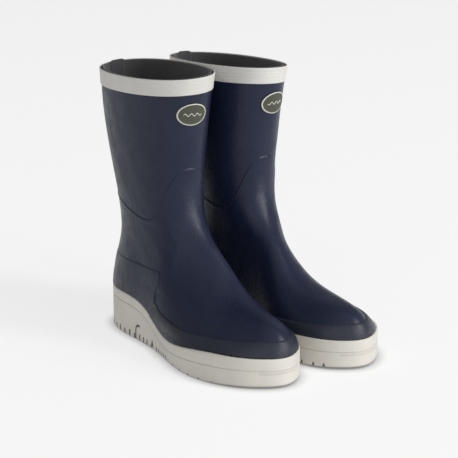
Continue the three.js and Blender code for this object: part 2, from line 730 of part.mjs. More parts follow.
// ---- looks ---------------------------------------------------------------------------------------------------
const NAVY = { color: 0x2b3145, roughness: 0.55 };
const WHITE = { color: 0xc6c2b8, roughness: 0.6 };
const CHARCOAL = { color: 0x2c2b2b, roughness: 0.95 };
const PIECES = [
  ["outsole", outsole, WHITE],
  ["sole_strip", soleStrip, WHITE],
  ["midsole", midsole, { color: 0xb8b4aa, roughness: 0.9 }],
  ["insole_board", insoleBoard, { color: 0x8a7a60, roughness: 0.9 }],
  ["insole", insole, CHARCOAL],
  ["lining", lining, CHARCOAL],
  ["heel_stiffener", heelStiffener, { color: 0x5a564f, roughness: 0.9 }],
  ["toe_puff", toePuff, { color: 0x5a564f, roughness: 0.9 }],
  ["vamp", vamp, NAVY],
  ["leg_panel", legPanel, NAVY],
  ["heel_counter", heelCounter, NAVY],
  ["toe_wrap", toeWrap, NAVY],
  ["top_band", topBand, WHITE],
  ["back_strip", backStrip, { color: 0x3a3939, roughness: 0.95 }],
  ["badge", badge, { color: 0x4c4d3c, roughness: 0.6 }],
];

function boot(side) {
  const left = side === "left";
  const group = new THREE.Group();
  for (const [name, shape, look] of PIECES) {
    const geometry = shape.clone();
    geometry.computeVertexNormals();
    const material = new THREE.MeshStandardMaterial({ metalness: 0, flatShading: true, ...look });
    const mesh = new THREE.Mesh(geometry, material);
    mesh.name = `${side}_${name}`;
    group.add(mesh);
  }
  const out = THREE.MathUtils.degToRad(left ? LEFT_TOE_OUT : RIGHT_TOE_OUT);
  group.rotation.z = left ? out - Math.PI / 2 : -Math.PI / 2 - out;
  group.scale.y = left ? 1 : -1;
  group.position.set(left ? PAIR_GAP / 2 : -PAIR_GAP / 2, left ? LEFT_BACK : 0, 0);
  return group;
}

const pair = new THREE.Group();
pair.add(boot("right"), boot("left"));
pair.updateMatrixWorld(true);
const box = new THREE.Box3().setFromObject(pair, true);
const middle = box.getCenter(new THREE.Vector3());
pair.position.set(-middle.x, -middle.y, -box.min.z);
pair.updateMatrixWorld(true);

export default pair;
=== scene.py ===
"""Looks for a pair of rubber deck boots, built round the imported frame.

Every visible piece is a fine mesh on the same boot shape as the frame's solids. Local boot coordinates are
millimetres: f forward from the back of the heel, s to the outside, z up. Objects are metres, in the frame.
"""

import math

import bmesh
import bpy
import numpy as np
from mathutils import Matrix, Vector


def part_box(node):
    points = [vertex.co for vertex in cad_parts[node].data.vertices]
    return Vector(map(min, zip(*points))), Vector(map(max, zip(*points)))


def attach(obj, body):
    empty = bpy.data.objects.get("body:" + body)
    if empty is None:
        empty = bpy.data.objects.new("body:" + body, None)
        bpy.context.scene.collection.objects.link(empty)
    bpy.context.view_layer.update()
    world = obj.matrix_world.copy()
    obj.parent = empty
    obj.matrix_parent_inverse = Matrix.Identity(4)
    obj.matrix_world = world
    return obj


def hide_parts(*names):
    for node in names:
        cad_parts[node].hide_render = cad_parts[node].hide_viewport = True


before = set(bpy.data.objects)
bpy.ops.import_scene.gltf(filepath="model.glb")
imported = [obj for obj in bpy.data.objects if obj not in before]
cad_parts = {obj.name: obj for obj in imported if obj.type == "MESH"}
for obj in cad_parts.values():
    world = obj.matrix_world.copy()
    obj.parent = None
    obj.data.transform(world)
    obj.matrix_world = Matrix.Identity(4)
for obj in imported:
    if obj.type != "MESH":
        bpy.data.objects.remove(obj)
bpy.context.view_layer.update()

# ---- sizes shared with the frame's solids --------------------------------------------------------
MM = 0.001
SOLE_LENGTH = 290.0  # heel to toe, over the sole edge
BALL_WIDTH = 103.0  # widest part of the sole
BOOT_HEIGHT = 274.0  # floor to the middle of the rim
RIM_RAKE = 3.2  # the rim's front stands this much higher than its middle
RIM_LEAN = 2.2  # and its inner side this much higher
SHAFT_WIDTH = 84.8  # across the shaft at the rim
ANKLE_WIDTH = 70.0
HEEL_SOLE = 33.0  # outsole thickness under the heel,
WAIST_SOLE = 12.0  # behind the ball of the foot
TOE_SOLE = 17.0  # and at the toe
HEEL_STRIP = 10.5  # height of the pale strip above the outsole, at the heel
FORE_STRIP = 12.5  # and round the forefoot
TREAD_DEPTH = 4.0
ARCH_RELIEF = 1.6  # the waist of the sole stands this clear of the floor
VAMP_WALL = 2.1
LINING = 1.3
TUCK = 2.8  # the vamp draws in behind the strip
COUNTER_TOP = 82.0
TOP_BAND_HEIGHT = 16.5
BADGE_WIDTH = 33.5
BADGE_HEIGHT = 23.0
BADGE_DROP = 37.0  # rim to the middle of the badge
BADGE_SIDE = 4.0  # the badge sits this far to the outside of the toe line
STRIP_WIDTH = 20.0  # webbing inside the back
STRIP_DROP = 46.0  # below the rim
TOE_OUT = {"right": 1.3, "left": 5.1}  # degrees
FRAME_COLUMNS = 28  # the frame's outsole has this many columns on each side
CROWDING = 0.25  # how much columns crowd together at heel and toe

# ---- sizes of the fine model only ----------------------------------------------------------------
GROOVE = 1.0  # the line between outsole and strip
SOLE_CLEAR = 0.7  # the upper starts this far above the groove
SOLE_EDGE = 18.0  # height at which the sole's edge is taken
TOE_SPRING = 2.4  # the tip of the sole clears the floor by this much
OVERLAY = 1.1  # heel counter and toe wrap
WRAP_END = 117.0  # the toe wrap runs back to here, behind the counter's front edge
WRAP_SWELL = 0.8  # the toe wrap is rounder than a plain sheet by this much
TOP_BAND_FACE = 0.5  # the band stands out from the boot's face by this much
LINING_DEPTH = 3.0  # the boot's face to the lining's
STIFFENER_ROOM = 1.4  # the lining stands this much further in behind the stiffeners
STRIP_RISE = 1.3  # webbing above the rim


# ---- curves --------------------------------------------------------------------------------------
def cubic(points):
    """Natural cubic curve through (x, y) points."""
    x, y = np.array(points, float).T
    n = len(x)
    h = np.diff(x)
    system = np.eye(n)
    right = np.zeros(n)
    for i in range(1, n - 1):
        system[i, i - 1 : i + 2] = (h[i - 1], 2 * (h[i - 1] + h[i]), h[i])
        right[i] = 6 * ((y[i + 1] - y[i]) / h[i] - (y[i] - y[i - 1]) / h[i - 1])
    m = np.linalg.solve(system, right)

    def curve(q):
        q = np.asarray(q, float)
        i = np.clip(np.searchsorted(x, q) - 1, 0, n - 2)
        a, b, w = q - x[i], x[i + 1] - q, h[i]
        bend = (m[i] * b**3 + m[i + 1] * a**3) / (6 * w)
        return bend + (y[i] / w - m[i] * w / 6) * b + (y[i + 1] / w - m[i + 1] * w / 6) * a

    return curve


def linear(points):
    """Broken line through (x, y) points."""
    x, y = np.array(points, float).T
    return lambda q: np.interp(q, x, y)


def smooth_path(points, steps=500):
    """A smooth line through points in the plane."""
    points = np.array(points, float)
    at = np.r_[0, np.cumsum(np.hypot(*np.diff(points, axis=0).T) ** 0.75)]
    along = np.linspace(0, at[-1], steps)
    return np.stack([cubic(np.c_[at, points[:, k]])(along) for k in (0, 1)], 1)


def ease(x):
    """Rises smoothly from 0 to 1 while x goes from 0 to 1."""
    k = np.clip(x, 0, 1)
    return k * k * (3 - 2 * k)


def mix(a, b, k):
    return a + (b - a) * k


def quarter(x, radius):
    """0 at an edge, rising on a quarter round to 1 at `radius` from it."""
    return np.sqrt(1 - (1 - np.clip(x / radius, 0, 1)) ** 2)


# ---- the boot shape ------------------------------------------------------------------------------
ANKLE_LEVEL = 125.0
SHAFT_RISE = 149.0


def in_shaft(z):
    """Heights above the ankle follow the boot's height."""
    return mix(ANKLE_LEVEL, BOOT_HEIGHT, (z - ANKLE_LEVEL) / SHAFT_RISE)


# length, outer and inner reach, as shares of the sole's length and width
SOLE_PLAN = [
    (0, 0, 0), (0.018, 0.135, -0.135), (0.075, 0.262, -0.255), (0.16, 0.335, -0.325), (0.28, 0.352, -0.325),
    (0.42, 0.378, -0.315), (0.56, 0.455, -0.375), (0.68, 0.505, -0.475), (0.79, 0.475, -0.495),
    (0.9, 0.345, -0.425), (0.97, 0.15, -0.27), (1, -0.08, -0.08),
]


def sole_sides():
    """Outer and inner sideways reach of the sole's edge, over f."""
    outer = [(f * SOLE_LENGTH, o * BALL_WIDTH) for f, o, _ in SOLE_PLAN]
    inner = [(f * SOLE_LENGTH, i * BALL_WIDTH) for f, _, i in SOLE_PLAN[:-1]][::-1]
    loop = smooth_path(inner[-4:-1] + outer + inner + outer[1:4], 1600)
    tip = int(loop[:, 0].argmax())
    before = int(loop[:tip, 0].argmin())
    after = tip + int(loop[tip:, 0].argmin())
    sides = []
    for part in (loop[before : tip + 1], loop[tip : after + 1]):
        low, high = part[:, 0].min(), part[:, 0].max()
        f = (part[:, 0] - low) * SOLE_LENGTH / (high - low)
        order = np.argsort(f)
        sides.append(linear(np.c_[f[order], part[order, 1]]))
    return sides


SOLE_OUTER, SOLE_INNER = sole_sides()
FRONT_LINE = smooth_path([
    (1.0 * SOLE_LENGTH, 8), (0.9975 * SOLE_LENGTH, 24), (0.988 * SOLE_LENGTH, 42),
    (0.9514 * SOLE_LENGTH, 53.9),
    (0.8848 * SOLE_LENGTH, 59), (0.7736 * SOLE_LENGTH, 63.4), (0.6617 * SOLE_LENGTH, 76.5),
    (0.5697 * SOLE_LENGTH, 100.4), (0.4866 * SOLE_LENGTH, 124.8), (0.4559 * SOLE_LENGTH, in_shaft(155.4)),
    (0.4617 * SOLE_LENGTH, in_shaft(185.5)), (0.4834 * SOLE_LENGTH, in_shaft(228.7)),
    (0.5152 * SOLE_LENGTH, in_shaft(275.6)), (0.5262 * SOLE_LENGTH, in_shaft(292)),
])
BACK_LINE = smooth_path([
    (4, -2), (2.5, 20), (3.2, 45), (7.5, 70), (16.9, 95), (21.4, 125), (15.3, in_shaft(159.1)),
    (3.3, in_shaft(198.9)), (-5.4, in_shaft(238.6)), (-9.7, in_shaft(276.1)), (-12, in_shaft(292)),
])
HALF_WIDTH = cubic([
    (60, ANKLE_WIDTH / 2 - 1.5), (90, ANKLE_WIDTH / 2 - 1), (120, ANKLE_WIDTH / 2),
    (in_shaft(159.7), mix(ANKLE_WIDTH, SHAFT_WIDTH, 0.14) / 2),
    (in_shaft(196.9), mix(ANKLE_WIDTH, SHAFT_WIDTH, 0.5) / 2),
    (in_shaft(234.2), mix(ANKLE_WIDTH, SHAFT_WIDTH, 0.78) / 2), (BOOT_HEIGHT, SHAFT_WIDTH / 2),
    (in_shaft(292), SHAFT_WIDTH / 2 + 0.8),
])
# how far the foot keeps the sole's width, and where its ridge runs
TAPER = cubic([(0, 1), (20, 0.985), (40, 0.975), (60, 0.955), (90, 0.92), (130, 0.9), (300, 0.9)])
RIDGE = cubic([(60, 0), (130, -9.9), (175, -15.5), (220, -6.5), (260, -6.7), (291, -8.2)])
DOME_START = 22.0  # the foot starts to close over towards its ridge
DOME_POWER = 1.89
DOME_SIDES = (1.633, 2.165)  # outside, inside
LEAN_SIDES = (0.339, 0.093)
SHAFT_POWER = 2.15  # 2 would make the shaft an ellipse
SHAFT_TWIST = math.tan(math.radians(-1.5))
NECK = 0.483 * SOLE_LENGTH
NOSE_TURN = 10.0  # the front of the shaft is rounded over this length
SIDE_STEPS = 360  # points along each side of a level section


def instep_line():
    """Height of the instep over f; behind the front of the ankle it climbs on, ever steeper."""
    rising = FRONT_LINE[: int(FRONT_LINE[:, 0].argmin()) + 1]
    line = rising[int(rising[:, 0].argmax()) :][::-1]
    over = linear(line)
    climb = (over(NECK - 2) - over(NECK + 2)) / 4 / over(NECK)
    return lambda f: np.where(f < NECK, over(NECK) * np.exp((NECK - np.minimum(f, NECK)) * climb), over(f))


INSTEP = instep_line()
LEVELS = np.r_[np.arange(8, 70, 0.25), np.arange(70, 130, 0.5), np.arange(130, 288.5, 1.0)]
TURNS = 720


def shape_table():
    """The boot shape as points (f, s) on LEVELS x TURNS; turn 0 is the heel, outside first, 0.5 the toe."""
    z = LEVELS[:, None]
    back = np.interp(z, BACK_LINE[:, 1], BACK_LINE[:, 0])
    front = np.interp(z, FRONT_LINE[:, 1], FRONT_LINE[:, 0])
    toe = np.interp(np.clip(z, 12, 26), FRONT_LINE[:, 1], FRONT_LINE[:, 0])
    f = back + (front - back) * (1 - np.cos(np.pi * np.arange(SIDE_STEPS + 1) / SIDE_STEPS)) / 2
    plan = (f - back) * SOLE_LENGTH / (toe - back)
    edges = (SOLE_OUTER(plan), SOLE_INNER(plan))
    mid = (edges[0] + edges[1]) / 2
    x = np.clip((z - DOME_START) / np.maximum(INSTEP(f) - DOME_START, 1e-6), 0, 1)
    dome = np.where(z <= DOME_START, 1, np.maximum(1 - x**DOME_POWER, 0))
    turn = NOSE_TURN * np.clip((z - 105) / 15, 0, 1) + 1e-6
    nose = np.sqrt(np.maximum(1 - (1 - np.clip((front - f) / turn, 0, 1)) ** 2, 0))
    fore = ease((f / SOLE_LENGTH - 0.414) / 0.207)
    ridge = RIDGE(f)
    middle = (back + front) / 2
    around = np.maximum(1 - np.abs((f - middle) / ((front - back) / 2)) ** SHAFT_POWER, 0)
    half = HALF_WIDTH(z) * around ** (1 / SHAFT_POWER)
    drift = (f - middle) * SHAFT_TWIST
    shaft = ease((z - 80) / 85)
    turns = np.arange(TURNS) / TURNS
    table = np.zeros((len(LEVELS), TURNS, 2))
    for k, edge in enumerate(edges):
        sign = 1 - 2 * k
        lean = 1 - LEAN_SIDES[k] * x * fore
        foot = ridge + (mid + (edge - mid) * TAPER(z) - ridge) * nose * dome ** (1 / DOME_SIDES[k]) * lean
        s = mix(foot, drift + sign * half, shaft)
        steps = np.hypot(np.diff(f), np.diff(s))
        run = np.concatenate([np.zeros((len(LEVELS), 1)), np.cumsum(steps, 1)], 1)
        own = turns <= 0.5 if k == 0 else turns > 0.5
        share = turns[own] * 2 if k == 0 else (1 - turns[own]) * 2
        for row in range(len(LEVELS)):
            want = share * run[row, -1]
            table[row, own, 0] = np.interp(want, run[row], f[row])
            table[row, own, 1] = np.interp(want, run[row], s[row])
    return table


def soften(table, reach):
    """A weighted mean along the turns, which rounds the ridge slightly."""
    offsets = np.arange(-3 * reach, 3 * reach + 1)
    weights = np.exp(-0.5 * (offsets / reach) ** 2)
    weights /= weights.sum()
    return sum(w * np.roll(table, -o, axis=1) for w, o in zip(weights, offsets))


def soften_ridge(table):
    """The ridge over the toe and instep is rounder than the rest."""
    turns = np.arange(TURNS) / TURNS
    near = np.exp(-(((turns - 0.5) / 0.07) ** 2)) * ease((LEVELS[:, None] - 22) / 14)
    return mix(soften(table, 2), soften(table, 9), near[..., None])


SHAPE_RAW = shape_table()
SHAPE = soften_ridge(SHAPE_RAW)


def unit(vectors, least=1e-9):
    return vectors / np.maximum(np.linalg.norm(vectors, axis=-1, keepdims=True), least)


def normal_table():
    """Outward directions on the same grid as the shape."""
    across = np.roll(SHAPE, -2, axis=1) - np.roll(SHAPE, 2, axis=1)
    up = np.gradient(SHAPE, LEVELS, axis=0)
    nf, ns, nz = across[..., 1], -across[..., 0], across[..., 0] * up[..., 1] - across[..., 1] * up[..., 0]
    return soften(unit(-np.stack([nf, ns, nz], -1)), 2)


NORMALS = normal_table()
STEPS_UP = np.sqrt((np.diff(SHAPE, axis=0) ** 2).sum(-1) + np.diff(LEVELS)[:, None] ** 2)
RUN_UP = np.concatenate([np.zeros((1, TURNS)), np.cumsum(STEPS_UP, axis=0)], 0)


def sample(table, t, z):
    """Values of a table at turns t and heights z."""
    t = np.mod(t, 1) * TURNS
    z = np.clip(z, LEVELS[0], LEVELS[-1] - 1e-6)
    t, z = np.broadcast_arrays(t, z)
    j = np.floor(t).astype(int) % TURNS
    k = (j + 1) % TURNS
    i = np.clip(np.searchsorted(LEVELS, z, side="right") - 1, 0, len(LEVELS) - 2)
    a = t - np.floor(t)
    b = (z - LEVELS[i]) / (LEVELS[i + 1] - LEVELS[i])
    if table.ndim == 3:
        a, b = a[..., None], b[..., None]
    low = table[i, j] * (1 - a) + table[i, k] * a
    high = table[i + 1, j] * (1 - a) + table[i + 1, k] * a
    return low * (1 - b) + high * b


def skin(t, z, d=0.0):
    """Points on the boot shape, moved outwards by d."""
    t, z, d = np.broadcast_arrays(t, z, d)
    plan = sample(SHAPE, t, z)
    normal = unit(sample(NORMALS, t, z))
    return np.concatenate([plan, z[..., None]], -1) + normal * d[..., None]


def forward(t, z):
    """How far forward of the heel the boot shape is."""
    return sample(SHAPE, t, z)[..., 0]


def girth(z):
    """The length once round the boot at a height."""
    return np.linalg.norm(np.diff(skin(np.linspace(0, 1, 400), z), axis=0), axis=1).sum()


# ---- curves that divide the pieces, over f -------------------------------------------------------
sole_top = cubic([
    (-20, HEEL_SOLE), (40, HEEL_SOLE), (0.26 * SOLE_LENGTH, HEEL_SOLE),
    (0.36 * SOLE_LENGTH, mix(WAIST_SOLE, HEEL_SOLE, 0.74)),
    (0.455 * SOLE_LENGTH, mix(WAIST_SOLE, HEEL_SOLE, 0.2)),
    (0.52 * SOLE_LENGTH, WAIST_SOLE), (0.6 * SOLE_LENGTH, WAIST_SOLE),
    (0.7 * SOLE_LENGTH, mix(WAIST_SOLE, TOE_SOLE, 0.55)), (0.82 * SOLE_LENGTH, TOE_SOLE),
    (1.05 * SOLE_LENGTH, TOE_SOLE),
])


def strip_top(f):
    """The top edge of the pale strip."""
    return sole_top(f) + mix(HEEL_STRIP, FORE_STRIP, ease((f / SOLE_LENGTH - 0.55) / 0.3))


def rounded(corners, f, step):
    """A broken line's height at f, with its corners rounded over two steps each way."""
    return sum(corners(f + o) for o in (-2 * step, -step, 0, step, 2 * step)) / 5


seam_corners = linear([
    (-20, 158), (20, 150), (62, 138), (75, 134), (90, 129.5), (105, 130), (110, 132), (116, 142), (120, 156),
    (125, 175), (128, 182), (132, 188), (170, 190),
])


def seam_height(f):
    """The seam between vamp and leg."""
    return rounded(seam_corners, f, 4)


wrap_corners = linear([
    (115, 54), (124, 52), (127, 49), (137, 44), (161, 40), (186, 38), (218, 40), (256, 43), (275, 45.5),
    (300, 46),
])


def wrap_top(f):
    return rounded(wrap_corners, f, 3)


RIM_MIDDLE = 70.0
RIM_REACH = 79.5  # from the rim's middle to its front


def rim_height(f, s):
    return BOOT_HEIGHT + RIM_RAKE * (f - RIM_MIDDLE) / RIM_REACH - RIM_LEAN * s / (SHAFT_WIDTH / 2)


def meet(t, curve):
    """Height on each column t where the shape first rises past a dividing curve of (f, s)."""
    t = np.asarray(t, float)
    z = LEVELS[:, None]
    plan = sample(SHAPE, t[None, :], z)
    over = z - curve(plan[..., 0], plan[..., 1])
    first = np.clip((over >= 0).argmax(0), 1, len(LEVELS) - 1)
    col = np.arange(len(t))
    low, high = over[first - 1, col], over[first, col]
    return LEVELS[first - 1] + (LEVELS[first] - LEVELS[first - 1]) * np.clip(-low / (high - low), 0, 1)


EDGE_ROWS = (0, 0.12, 0.3, 0.55, 0.9, 1.4)  # rows this far from an edge


def levels_between(t, low, high, count, near=EDGE_ROWS):
    """Rows up each column, evenly spaced along the surface and closer together at both edges.

    Gives heights and the distances to the lower and the upper edge, as (columns, rows)."""
    run_low, run_high = sample(RUN_UP, t, low), sample(RUN_UP, t, high)
    near = np.array(near)
    inner = np.linspace(0, 1, count)[1:-1]
    span = (run_high - run_low - 2 * near[-1])[:, None]
    run = np.concatenate([
        run_low[:, None] + near, run_low[:, None] + near[-1] + span * inner, run_high[:, None] - near[::-1]
    ], 1)
    table = sample(RUN_UP, t[None, :], LEVELS[:, None])
    z = np.stack([np.interp(run[j], table[:, j], LEVELS) for j in range(len(t))])
    return z, run - run_low[:, None], run_high[:, None] - run


def crowd(u):
    """Even shares of a turn, moved closer together at heel and toe."""
    return u - CROWDING * np.sin(4 * np.pi * u) / (4 * np.pi)


# ---- from local boot coordinates to the frame ----------------------------------------------------
def boot_matrix(side):
    """Places a boot by its outsole's box in the frame."""
    out = math.radians(TOE_OUT[side])
    turn = out - math.pi / 2 if side == "left" else -math.pi / 2 - out
    mirror = 1 if side == "left" else -1
    columns = crowd(np.arange(2 * FRAME_COLUMNS) / (2 * FRAME_COLUMNS))
    plan = sample(SHAPE_RAW, columns, SOLE_EDGE)
    placed = np.stack([
        plan[:, 0] * math.cos(turn) - mirror * plan[:, 1] * math.sin(turn),
        plan[:, 0] * math.sin(turn) + mirror * plan[:, 1] * math.cos(turn),
    ], 1) * MM
    own = (placed.min(0) + placed.max(0)) / 2
    low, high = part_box(f"{side}_outsole")
    centre = (np.array(low[:2]) + np.array(high[:2])) / 2
    move = Matrix.Translation(Vector((*(centre - own), 0)))
    return move @ Matrix.Rotation(turn, 4, "Z") @ Matrix.Diagonal((MM, mirror * MM, MM, 1))


PLACE = {side: boot_matrix(side) for side in ("right", "left")}


def finish_mesh(name, side, points, faces, materials, indices=None, smooth=True):
    """A mesh object in the frame from local points and a list of index arrays of equal-length faces."""
    matrix = np.array(PLACE[side])
    world = points @ matrix[:3, :3].T + matrix[:3, 3]
    mesh = bpy.data.meshes.new(name)
    corners = np.concatenate([f.ravel() for f in faces])
    sizes = np.concatenate([np.full(len(f), f.shape[1]) for f in faces])
    if side == "right":
        corners = np.concatenate([f[:, ::-1].ravel() for f in faces])
    mesh.vertices.add(len(world))
    mesh.vertices.foreach_set("co", world.ravel())
    mesh.loops.add(len(corners))
    mesh.loops.foreach_set("vertex_index", corners.astype(np.int32))
    mesh.polygons.add(len(sizes))
    mesh.polygons.foreach_set("loop_start", np.r_[0, np.cumsum(sizes)[:-1]].astype(np.int32))
    for material in materials:
        mesh.materials.append(material)
    if indices is not None:
        mesh.polygons.foreach_set("material_index", indices.astype(np.int32))
    mesh.polygons.foreach_set("use_smooth", np.full(len(sizes), smooth))
    mesh.update(calc_edges=True)
    mesh.validate()
    shape = bmesh.new()
    shape.from_mesh(mesh)
    bmesh.ops.recalc_face_normals(shape, faces=shape.faces)
    shape.to_mesh(mesh)
    shape.free()
    obj = bpy.data.objects.new(name, mesh)
    bpy.context.scene.collection.objects.link(obj)
    return obj


def grid_faces(columns, rows, ring_columns, ring_rows):
    """Quads over a (columns, rows) grid of points, facing out for columns that run on with t and rows up."""
    j = np.arange(columns if ring_columns else columns - 1)
    k = np.arange(rows if ring_rows else rows - 1)
    j, k = np.meshgrid(j, k, indexing="ij")
    a = j * rows + k
    b = j * rows + (k + 1) % rows
    c = ((j + 1) % columns) * rows + (k + 1) % rows
    d = ((j + 1) % columns) * rows + k
    return np.stack([a, b, c, d], -1).reshape(-1, 4)


def shell(name, side, outer, inner, ring, materials):
    """A closed wall from an outer and an inner (columns, rows, 3) face."""
    thin = np.unique(np.round(np.linspace(0, inner.shape[1] - 1, max(inner.shape[1] // 5, 4))).astype(int))
    loops = np.concatenate([outer, inner[:, thin[::-1]]], 1)
    columns, rows = loops.shape[:2]
    faces = [grid_faces(columns, rows, ring, True)]
    if not ring:
        faces.append(np.arange(rows)[::-1].reshape(1, -1))
        faces.append(((columns - 1) * rows + np.arange(rows)).reshape(1, -1))
    return finish_mesh(name, side, loops.reshape(-1, 3), faces, materials)


def keep(obj, side, node):
    """Rides on the boot in place of the frame's own solid."""
    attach(obj, f"{side}_boot")
    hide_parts(f"{side}_{node}")
    return obj


# ---- materials -----------------------------------------------------------------------------------
def new_material(name):
    """A material with its shader, and coordinates fixed to the object."""
    material = bpy.data.materials.new(name)
    material.use_nodes = True
    tree = material.node_tree
    shader = tree.nodes["Principled BSDF"]
    place = tree.nodes.new("ShaderNodeTexCoord")
    return material, tree, shader, place


def noise(tree, place, scale, detail=3.0, roughness=0.55):
    node = tree.nodes.new("ShaderNodeTexNoise")
    node.inputs["Scale"].default_value = scale
    node.inputs["Detail"].default_value = detail
    node.inputs["Roughness"].default_value = roughness
    tree.links.new(place.outputs["Object"], node.inputs["Vector"])
    return node.outputs["Fac"]


def ramp(tree, source, low, high, start=0.35, end=0.65):
    """Maps start..end of the source to low..high, and holds it there outside."""
    node = tree.nodes.new("ShaderNodeMapRange")
    node.inputs["From Min"].default_value = start
    node.inputs["From Max"].default_value = end
    node.inputs["To Min"].default_value = low
    node.inputs["To Max"].default_value = high
    tree.links.new(source, node.inputs["Value"])
    return node.outputs["Result"]


def blend_colours(tree, factor, first, second):
    node = tree.nodes.new("ShaderNodeMix")
    node.data_type = "RGBA"
    node.inputs["A"].default_value = (*first, 1)
    node.inputs["B"].default_value = (*second, 1)
    tree.links.new(factor, node.inputs["Factor"])
    return node.outputs["Result"]


def bump(tree, shader, height, distance, strength=1.0, before=None):
    """Puts a relief on the shader, over an earlier one if there is one."""
    node = tree.nodes.new("ShaderNodeBump")
    node.inputs["Distance"].default_value = distance
    node.inputs["Strength"].default_value = strength
    tree.links.new(height, node.inputs["Height"])
    if before is not None:
        tree.links.new(before, node.inputs["Normal"])
    tree.links.new(node.outputs["Normal"], shader.inputs["Normal"])
    return node.outputs["Normal"]


def rubber(name, colour, shade, roughness, grain, grain_depth, specular=0.5):
    """Moulded rubber: a soft cloudiness in colour and gloss over a fine pebble."""
    material, tree, shader, place = new_material(name)
    shader.inputs["Specular IOR Level"].default_value = specular
    cloud = noise(tree, place, 28.0, 4.0)
    tone = blend_colours(tree, ramp(tree, cloud, 0, 1), colour, shade)
    tree.links.new(tone, shader.inputs["Base Color"])
    gloss = noise(tree, place, 90.0, 3.0)
    tree.links.new(ramp(tree, gloss, roughness - 0.05, roughness + 0.06), shader.inputs["Roughness"])
    fine = noise(tree, place, grain, 2.0, 0.5)
    first = bump(tree, shader, fine, grain_depth)
    bump(tree, shader, noise(tree, place, 160.0, 2.0), grain_depth * 2, 0.6, first)
    return material


WAVE_PITCH = 0.314  # a wave texture of scale 1 repeats after this many metres


def textile(name, colour, shade, pitch, depth):
    """A knit or weave: crossed fine waves, with fuzz and uneven dye."""
    material, tree, shader, place = new_material(name)
    shader.inputs["Roughness"].default_value = 0.95
    shader.inputs["Sheen Weight"].default_value = 0.25
    shader.inputs["Sheen Roughness"].default_value = 0.6
    heights = []
    for direction in ("X", "Y", "Z"):
        wave = tree.nodes.new("ShaderNodeTexWave")
        wave.bands_direction = direction
        wave.inputs["Scale"].default_value = WAVE_PITCH / pitch
        wave.inputs["Distortion"].default_value = 1.2
        wave.inputs["Detail"].default_value = 1.0
        tree.links.new(place.outputs["Object"], wave.inputs["Vector"])
        heights.append(wave.outputs["Fac"])
    total = heights[0]
    for other in heights[1:]:
        add = tree.nodes.new("ShaderNodeMath")
        add.operation = "ADD"
        tree.links.new(total, add.inputs[0])
        tree.links.new(other, add.inputs[1])
        total = add.outputs["Value"]
    cloud = noise(tree, place, 60.0, 5.0, 0.7)
    tone = blend_colours(tree, ramp(tree, cloud, 0, 1), colour, shade)
    tree.links.new(tone, shader.inputs["Base Color"])
    first = bump(tree, shader, total, depth)
    bump(tree, shader, noise(tree, place, 2500.0, 2.0), depth, 0.6, first)
    return material


# rubber: two colours that it clouds between, roughness, scale and depth of its grain, and specular level
NAVY = rubber("navy_rubber", (0.0074, 0.0110, 0.031), (0.0098, 0.0138, 0.035), 0.38, 650.0, 0.0002, 0.30)
# the toe wrap: navy rubber lightened by a painted reflection
FOXING_PAINTED_REFLECTION = rubber("foxing_painted_reflection", (0.015, 0.0175, 0.031), (0.018, 0.0205, 0.034), 0.42, 650.0, 0.00016, 0.36)
WHITE = rubber("sole_rubber", (0.56, 0.538, 0.488), (0.525, 0.503, 0.456), 0.58, 700.0, 0.00004)
TREAD_DARK = rubber("tread_shadow", (0.17, 0.158, 0.138), (0.13, 0.12, 0.105), 0.8, 700.0, 0.00004)
BAND = rubber("band_rubber", (0.57, 0.558, 0.53), (0.535, 0.523, 0.496), 0.55, 800.0, 0.00004)
OLIVE = rubber("badge_rubber", (0.040, 0.042, 0.024), (0.048, 0.050, 0.030), 0.5, 1200.0, 0.00003)
PALE = rubber("badge_line", (0.52, 0.52, 0.46), (0.48, 0.48, 0.43), 0.5, 1200.0, 0.00002)
# textile: two colours, pitch of its threads in metres, and depth
LINING_CLOTH = textile("lining_cloth", (0.026, 0.0255, 0.0255), (0.031, 0.0305, 0.0305), 0.0011, 0.00003)
WEBBING = textile("webbing", (0.022, 0.0215, 0.026), (0.027, 0.027, 0.031), 0.0016, 0.00008)
FOOTBED = textile("footbed_cloth", (0.016, 0.0155, 0.015), (0.024, 0.023, 0.022), 0.0014, 0.0002)
# hidden pieces
SPONGE = rubber("midsole_sponge", (0.45, 0.43, 0.40), (0.40, 0.38, 0.35), 0.9, 1500.0, 0.0002)
BOARD = rubber("fibre_board", (0.25, 0.19, 0.12), (0.20, 0.15, 0.10), 0.9, 1800.0, 0.0001)
SHEET = rubber("stiffener_sheet", (0.10, 0.09, 0.08), (0.08, 0.072, 0.064), 0.8, 1200.0, 0.00008)


# ---- pieces --------------------------------------------------------------------------------------
RING = crowd(np.arange(400) / 400)  # columns round the upper
SOLE_RING = crowd(np.arange(480) / 480)  # and round the sole
# rows this far from the edges of an overlay and of the vamp's seam
PATCH_ROWS = (0, 0.4, 0.8, 1.2, 1.6, 2.0, 2.5, 3.2)
SEAM_ROWS = (0, 0.3, 0.6, 0.9, 1.2, 1.6, 2.0, 2.6, 3.3, 4.2, 5.2)


def vamp_face(t, z):
    """The vamp draws in where the pale strip covers it."""
    return -TUCK * ease((strip_top(forward(t, z)) + 1 - z) / 8)


LEG_FACE = -0.42  # the leg's face lies this far inside the vamp's


def above_sole(f):
    """The lower edge of the upper."""
    return sole_top(f) + GROOVE + SOLE_CLEAR


def ripple(t, z):
    """The slight unevenness of a hand-laid rubber skin."""
    wide = np.sin(9 * np.pi * t + 0.021 * z) * np.sin(0.037 * z + 6.3 * t)
    return 0.16 * wide + 0.08 * np.sin(0.11 * z + 22 * np.pi * t)


